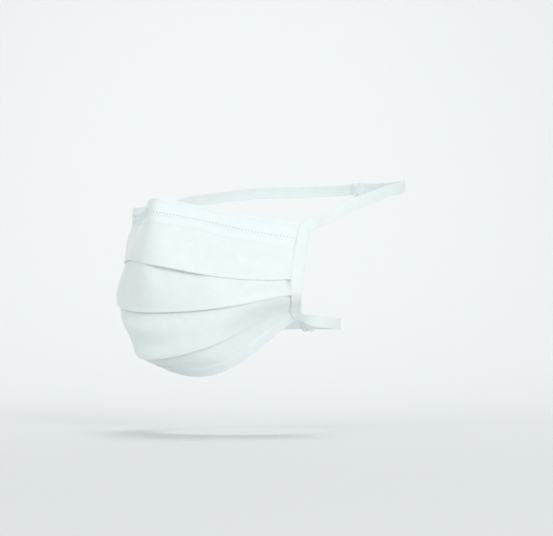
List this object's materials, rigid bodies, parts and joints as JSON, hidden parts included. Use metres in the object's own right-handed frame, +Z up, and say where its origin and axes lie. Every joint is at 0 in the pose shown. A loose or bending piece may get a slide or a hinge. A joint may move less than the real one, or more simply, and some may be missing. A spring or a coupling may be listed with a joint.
{
  "type": "surgical face mask",
  "caption": "Pleated cloth face mask in its worn form, with folded strips that bind the sides and run on as ties round the head and the neck.",
  "frame": {"origin": "inner face of the top edge at the middle, where it sits on the bridge of the nose", "axes": "+Z up, the mask faces -Y, +X is the wearer's left, so the ties run to +Y behind the head"},
  "size_m": [0.152, 0.2188, 0.1262],
  "materials": {
    "pleat_cloth": "white pressed nonwoven cloth, matt",
    "hem_cloth": "white pressed nonwoven cloth, matt, with rows of weld dots",
    "strip_cloth": "white nonwoven strip folded double, matt",
    "wire_metal": "flat soft wire, satin"
  },
  "bodies": {
    "root": {"mask_body": "pleat_cloth", "top_hem": "hem_cloth", "bottom_hem": "hem_cloth", "nose_wire": "wire_metal", "tie_strip_left": "strip_cloth", "tie_strip_right": "strip_cloth", "upper_knot": "strip_cloth", "lower_knot": "strip_cloth"}
  },
  "joints": []
}
